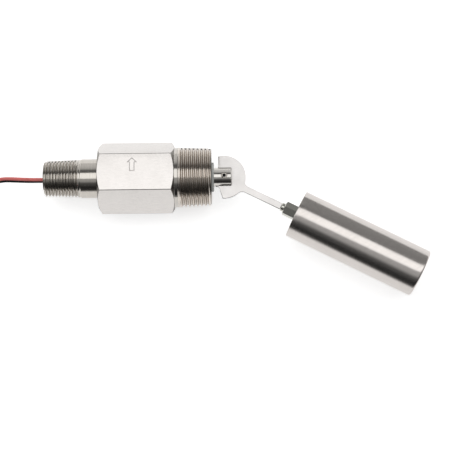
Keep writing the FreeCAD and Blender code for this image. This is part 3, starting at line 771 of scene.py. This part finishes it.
def add_tie(material):
    """Strap round both coils, its head outside and its cut tail just through the head."""
    inner_x = (7.6, 13.4)
    half_y = 3.85
    thickness, width, corner = 0.9, 2.5, 0.7
    loop = rounded_outline([(inner_x[0], -half_y), (inner_x[0], half_y), (inner_x[1], half_y),
                            (inner_x[1], -half_y)], corner, 6)
    bm = bmesh.new()
    count = len(loop)
    middle = Vector(((inner_x[0] + inner_x[1]) / 2, 0.0))
    section = [(0.0, -width / 2 + 0.15), (0.12, -width / 2), (thickness - 0.12, -width / 2),
               (thickness, -width / 2 + 0.15), (thickness, width / 2 - 0.15), (thickness - 0.12, width / 2),
               (0.12, width / 2), (0.0, width / 2 - 0.15)]
    rows = []
    for number, point in enumerate(loop):
        here = Vector(point)
        tangent = (Vector(loop[(number + 1) % count]) - Vector(loop[number - 1])).normalized()
        out = Vector((tangent.y, -tangent.x))
        if out.dot(here - middle) < 0:
            out = -out
        row = []
        for rise, across in section:
            flat = here + out * rise
            row.append(bm.verts.new((flat.x * MM, flat.y * MM, across * MM)))
        rows.append(row)
    close_rows(bm, rows)
    band = mesh_piece("lead_tie_band", bm)
    outside = inner_x[1] + thickness
    head = add_block("lead_tie_head", (outside - 0.1, outside + 2.2), (-1.6, 1.6), (-1.6, 1.6), 0.35)
    cut_with(head, add_block("slot_cutter", (outside + 0.35, outside + 1.55), (-2, 2), (-1.35, 1.35), 0.05))
    tail = add_block("lead_tie_tail", (outside + 0.5, outside + 1.4), (-2.1, 2.9), (-width / 2, width / 2),
                     EDGE)
    move = (Matrix.Translation((COIL_CENTRE[0] * MM, 0, COIL_CENTRE[1] * MM))
            @ Matrix.Rotation(-TIE_ANGLE, 4, "Y"))
    for piece in (band, head, tail):
        piece.data.transform(move)
        give(piece, material)
        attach(piece, "root")
    return band


def add_block(name, x, y, z, edge, segments=3):
    """Block with rounded edges."""
    bm = bmesh.new()
    bmesh.ops.create_cube(bm, size=1.0)
    for vert in bm.verts:
        for axis, (low, high) in enumerate((x, y, z)):
            vert.co[axis] = (high if vert.co[axis] > 0 else low) * MM
    bmesh.ops.bevel(bm, geom=bm.edges[:], offset=edge * MM, segments=segments, profile=0.5, affect="EDGES")
    return mesh_piece(name, bm)


# ---------------------------------------------------------------- materials
HEX_COLOUR = (0.625, 0.6, 0.58)
NIPPLE_COLOUR = (0.53, 0.50, 0.46)
hex_steel = steel("hex_steel", HEX_COLOUR, 0.20, GRAIN_FLAT, contrast=0.07, bump=0.16, blotch=120, stain=0.05)
land_steel = steel("land_steel", (0.53, 0.505, 0.47), 0.10, GRAIN_RINGS, contrast=0.14)
# Painted shade: a dark steel for the hexagon's corners and chamfers, the thread's end face, the nipple's seam
# and the pivot stem's edges.
corner_painted_shade_steel = steel("corner_painted_shade_steel", (0.21, 0.20, 0.185), 0.34, GRAIN_ALONG, contrast=0.5, blotch=300,
                     stain=0.4)
hex_thread = threaded_steel("process_thread_steel", (0.62, 0.57, 0.52), 0.16, PROCESS_END,
                            PROCESS_SMALL_RADIUS, -1, PROCESS_PITCH * THREAD_DEPTH)
nipple_steel = steel("nipple_steel", NIPPLE_COLOUR, 0.13, GRAIN_RINGS, contrast=0.10)
nipple_thread = threaded_steel("conduit_thread_steel", (0.54, 0.51, 0.47), 0.15, CONDUIT_END,
                               CONDUIT_SMALL_RADIUS, 1, CONDUIT_PITCH * THREAD_DEPTH)
float_steel = steel("float_steel", (0.60, 0.565, 0.54), 0.20, GRAIN_ALONG, ARM_DROOP, contrast=0.08,
                    bump=0.12, blotch=60, stain=0.10, anisotropic=0.3)
cap_steel = steel("float_cap_steel", (0.50, 0.48, 0.46), 0.30, GRAIN_FLAT, ARM_DROOP)
neck_steel = steel("neck_steel", (0.58, 0.56, 0.53), 0.13)
pin_steel = steel("pin_steel", (0.55, 0.53, 0.50), 0.25, (300, 3000, 300))
plate_steel = steel("plate_steel", (0.70, 0.68, 0.665), 0.36, GRAIN_FLAT, contrast=0.05, bump=0.12,
                    stain=0.05)
# Sheared plate edges: rough steel, darkened further as painted shade.
sheared_painted_shade_steel = steel("sheared_painted_shade_steel", (0.13, 0.125, 0.12), 0.45, (900, 120, 900), contrast=0.3, stain=0.2)
fitting_steel = steel("fitting_steel", (0.53, 0.525, 0.48), 0.10, GRAIN_RINGS, ARM_DROOP)
# Painted shade: near-black colour laid in the pin's bore.
pin_bore_painted_shade = matt("pin_bore_painted_shade", (0.012, 0.012, 0.012), 0.7, 0.3)
small_steel = steel("small_steel", (0.62, 0.61, 0.60), 0.28, GRAIN_FLAT)
frame_steel = steel("frame_steel", (0.60, 0.60, 0.59), 0.34, GRAIN_FLAT)
brass = steel("terminal_brass", (0.72, 0.53, 0.24), 0.28, GRAIN_FLAT, stain=0.2)
magnet = steel("magnet_nickel", (0.48, 0.48, 0.49), 0.22, GRAIN_FLAT, contrast=0.05)
tin = steel("tinned_strands", (0.66, 0.66, 0.66), 0.32, GRAIN_FLAT)
collar_grey = matt("collar_grey", (0.575, 0.59, 0.57), 0.55, 0.08, 500, 0.3)
red_pvc = matt("red_insulation", (0.74, 0.17, 0.155), 0.36, 0.10, 500, 0.15)
black_pvc = matt("black_insulation", (0.006, 0.005, 0.005), 0.42, 0.25, 500, 0.15, Specular_IOR_Level=0.2)
rubber = matt("seal_rubber", (0.022, 0.022, 0.024), 0.6, 0.2)
potting = matt("potting_resin", (0.035, 0.034, 0.036), 0.3, 0.25, 300, 0.35)
liner = matt("liner_film", (0.75, 0.72, 0.62), 0.45, 0.06)
case_plastic = matt("switch_case_plastic", (0.03, 0.032, 0.036), 0.42, 0.2)
button_plastic = matt("button_plastic", (0.55, 0.07, 0.05), 0.4, 0.1)
nylon = matt("tie_nylon", (0.72, 0.71, 0.66), 0.42, 0.06)

NODE_LOOKS = {
    "seal_ring": rubber, "potting_plug": potting, "chamber_liner": liner, "pivot_stem": neck_steel,
    "pivot_washers": small_steel, "lever_pin": small_steel, "lever_clip": small_steel,
    "switch_screws": small_steel, "frame_screws": small_steel, "arm_socket": fitting_steel,
    "lock_nut": fitting_steel, "float_cap": cap_steel, "magnet_lever": frame_steel,
    "switch_frame": frame_steel, "lever_magnet": magnet, "switch_case": case_plastic,
    "switch_button": button_plastic, "switch_terminals": brass, "red_inner_lead": red_pvc,
    "black_inner_lead": black_pvc}
# pieces whose bevelled edges take the dark corner steel as painted shade
PAINTED_SHADE_EDGES = ("pivot_stem",)
NODE_EDGES = {
    "pivot_stem": 0.2, "lock_nut": 0.1, "arm_socket": 0.06, "pivot_washers": 0.06,
    "switch_case": 0.25, "magnet_lever": 0.1, "switch_frame": 0.1, "lever_magnet": 0.15, "potting_plug": 0.1}
EDGE_ANGLE = math.radians(40)

for node_name, look in NODE_LOOKS.items():
    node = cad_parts[node_name]
    give(node, look)
    # painted shade on the bevels of these pieces
    if node_name in PAINTED_SHADE_EDGES:
        node.data.materials.append(corner_painted_shade_steel)
    if node_name in NODE_EDGES:
        soften = node.modifiers.new("edges", "BEVEL")
        soften.width = NODE_EDGES[node_name] * MM
        soften.segments = 2
        soften.limit_method = "ANGLE"
        soften.angle_limit = EDGE_ANGLE
        soften.material = 1 if node_name in PAINTED_SHADE_EDGES else -1
        soften.harden_normals = True

# ---------------------------------------------------------------- pieces
for colour, route, side, material, exit_place in (
        ("red", RED_ROUTE, -1, red_pvc, RED_ROUTE[0]), ("black", BLACK_ROUTE, 1, black_pvc, BLACK_ROUTE[0])):
    points = route + coil_points(side, 0.30)
    lead = add_lead(f"{colour}_lead_cord", points, material)
    tip = add_strands(f"{colour}_lead_tip", points, tin)
    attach(lead, "root")
    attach(tip, "root")
    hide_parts(f"{colour}_lead", f"{colour}_lead_coil")

tie_band = add_tie(nylon)
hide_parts("lead_tie")

body = add_hex_body(hex_steel, hex_thread, land_steel, corner_painted_shade_steel)
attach(body, "root")
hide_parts("hex_body")

nipple = add_nipple(nipple_steel, nipple_thread, corner_painted_shade_steel)
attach(nipple, "root")
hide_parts("conduit_nipple")

collar = lathe("collar_skin", [(PROCESS_END, TAIL_RADIUS), (PROCESS_END, COLLAR_RADIUS),
                               (COLLAR_END, COLLAR_RADIUS), (COLLAR_END, TAIL_RADIUS)], 96, 0.3)
give(collar, collar_grey)
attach(collar, "root")
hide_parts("collar")

plate = add_arm_plate(plate_steel, sheared_painted_shade_steel)
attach(plate, "float_arm")
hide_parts("arm_plate")

pin = add_pivot_pin(pin_steel, pin_bore_painted_shade)
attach(pin, "root")
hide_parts("pivot_pin")

shell = add_float(float_steel)
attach(shell, "float_arm")
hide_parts("float_shell")


# ---------------------------------------------------------------- stage
BACKDROP_Y = 17.62
BACKDROP_HALF = 900.0
BACKDROP_GLOW = 0.56


def add_backdrop():
    """Pale sheet that the object lies against; it shows from the front only."""
    h = BACKDROP_HALF
    corners = ((-h, -h), (h, -h), (h, h), (-h, h))
    bm = bmesh.new()
    bm.faces.new([bm.verts.new(Vector((x, BACKDROP_Y, z)) * MM) for x, z in corners])
    mesh = bpy.data.meshes.new("backdrop")
    bm.to_mesh(mesh)
    bm.free()
    sheet = bpy.data.objects.new("backdrop", mesh)
    scene.collection.objects.link(sheet)
    n = Nodes(bpy.data.materials.new("backdrop_paper"))
    mottle = n.noise(n.place, 30.0, 3.0, 0.5)
    tone = n.mix(mottle, rgb(0.86, 0.86, 0.86), rgb(0.90, 0.90, 0.90))
    paper = n.add("ShaderNodeBsdfDiffuse", {"Color": tone})
    seen = n.rays("Is Camera Ray", "Is Glossy Ray", "Is Transmission Ray")
    glow = n.add("ShaderNodeEmission", {
        "Color": rgb(1, 1, 1), "Strength": n.math("MULTIPLY", seen, BACKDROP_GLOW)})
    both = n.add("ShaderNodeAddShader", {0: paper.outputs[0], 1: glow.outputs[0]})
    clear = n.add("ShaderNodeBsdfTransparent")
    behind = n.add("ShaderNodeNewGeometry").outputs["Backfacing"]
    n.finish(n.add("ShaderNodeMixShader", {0: behind, 1: both.outputs[0], 2: clear.outputs[0]}))
    mesh.materials.append(n.owner)


add_backdrop()


def add_area(name, place, target, width, height, radiance, glossy):
    """Rectangular lamp; only with glossy set do reflections show it."""
    data = bpy.data.lights.new(name, "AREA")
    data.shape = "RECTANGLE"
    data.size = width * MM
    data.size_y = height * MM
    data.energy = radiance * math.pi * data.size * data.size_y
    lamp = bpy.data.objects.new(name, data)
    scene.collection.objects.link(lamp)
    place, target = Vector(place) * MM, Vector(target) * MM
    lamp.location = place
    lamp.rotation_euler = (target - place).to_track_quat("-Z", "Y").to_euler()
    lamp.visible_glossy = glossy
    lamp.visible_camera = False


CENTRE = (25.0, 0.0, -10.0)
add_area("softbox_front", (15, -600, 50), CENTRE, 1500, 355, 1.1, True)
add_area("softbox_top", (-60, -330, 520), CENTRE, 900, 500, 0.9, False)


WORLD_FILL = 0.35
SIDE_ROOM = (0.12, 0.26)           # the room passes to its float side between these X of a direction
# the room's level at each angle above the level line towards -Y, in degrees
BODY_ROOM = [(-180, 0.45), (-96, 0.45), (-88, 0.25), (-80, 0.03), (-61, 0.03), (-50, 0.08), (-41, 0.1),
             (-35, 0.2), (-29, 0.45), (-20, 0.5), (14, 0.5), (20, 0.45), (24, 0.25), (28, 0.17), (35, 0.14),
             (40, 0.24), (46, 0.52), (52, 0.68), (60, 0.76), (75, 0.86), (97, 0.92), (180, 0.92)]
FLOAT_ROOM = [(-180, 0.3), (-96, 0.3), (-80, 0.03), (-61, 0.05), (-50, 0.15), (-35, 0.35), (-20, 0.5),
              (18, 0.5), (22, 0.17), (27, 0.17), (29, 0.27), (59, 0.31), (110, 0.38), (180, 0.38)]


def room_level(n, position, levels):
    """The level at this share of the whole turn, read off the list."""
    node = n.add("ShaderNodeValToRGB", {0: position})
    stops = node.color_ramp.elements
    while len(stops) < len(levels):
        stops.new(0.5)
    for stop, (angle, level) in zip(stops, levels):
        stop.position = (angle + 180) / 360
        stop.color = rgb(level, level, level)
    return node.outputs["Color"]


def set_world():
    """White to the camera; to reflections, a room tuned to the photograph's bands on the metal."""
    n = Nodes(bpy.data.worlds.new("world"), "ShaderNodeOutputWorld")
    scene.world = n.owner
    x, y, z = n.add("ShaderNodeSeparateXYZ", {"Vector": n.direction}).outputs
    angle = n.math("ARCTAN2", z, n.math("MULTIPLY", y, -1.0))
    turn = n.spread(angle, -math.pi, math.pi)
    body_side, float_side = room_level(n, turn, BODY_ROOM), room_level(n, turn, FLOAT_ROOM)
    room = n.mix(n.spread(x, *SIDE_ROOM), body_side, float_side, "FLOAT")
    lit = n.mix(n.rays("Is Glossy Ray"), WORLD_FILL, room, "FLOAT")
    strength = n.mix(n.rays("Is Camera Ray", "Is Transmission Ray"), lit, 1.0, "FLOAT")
    n.finish(n.add("ShaderNodeBackground", {"Color": rgb(1, 1, 1), "Strength": strength}))


set_world()
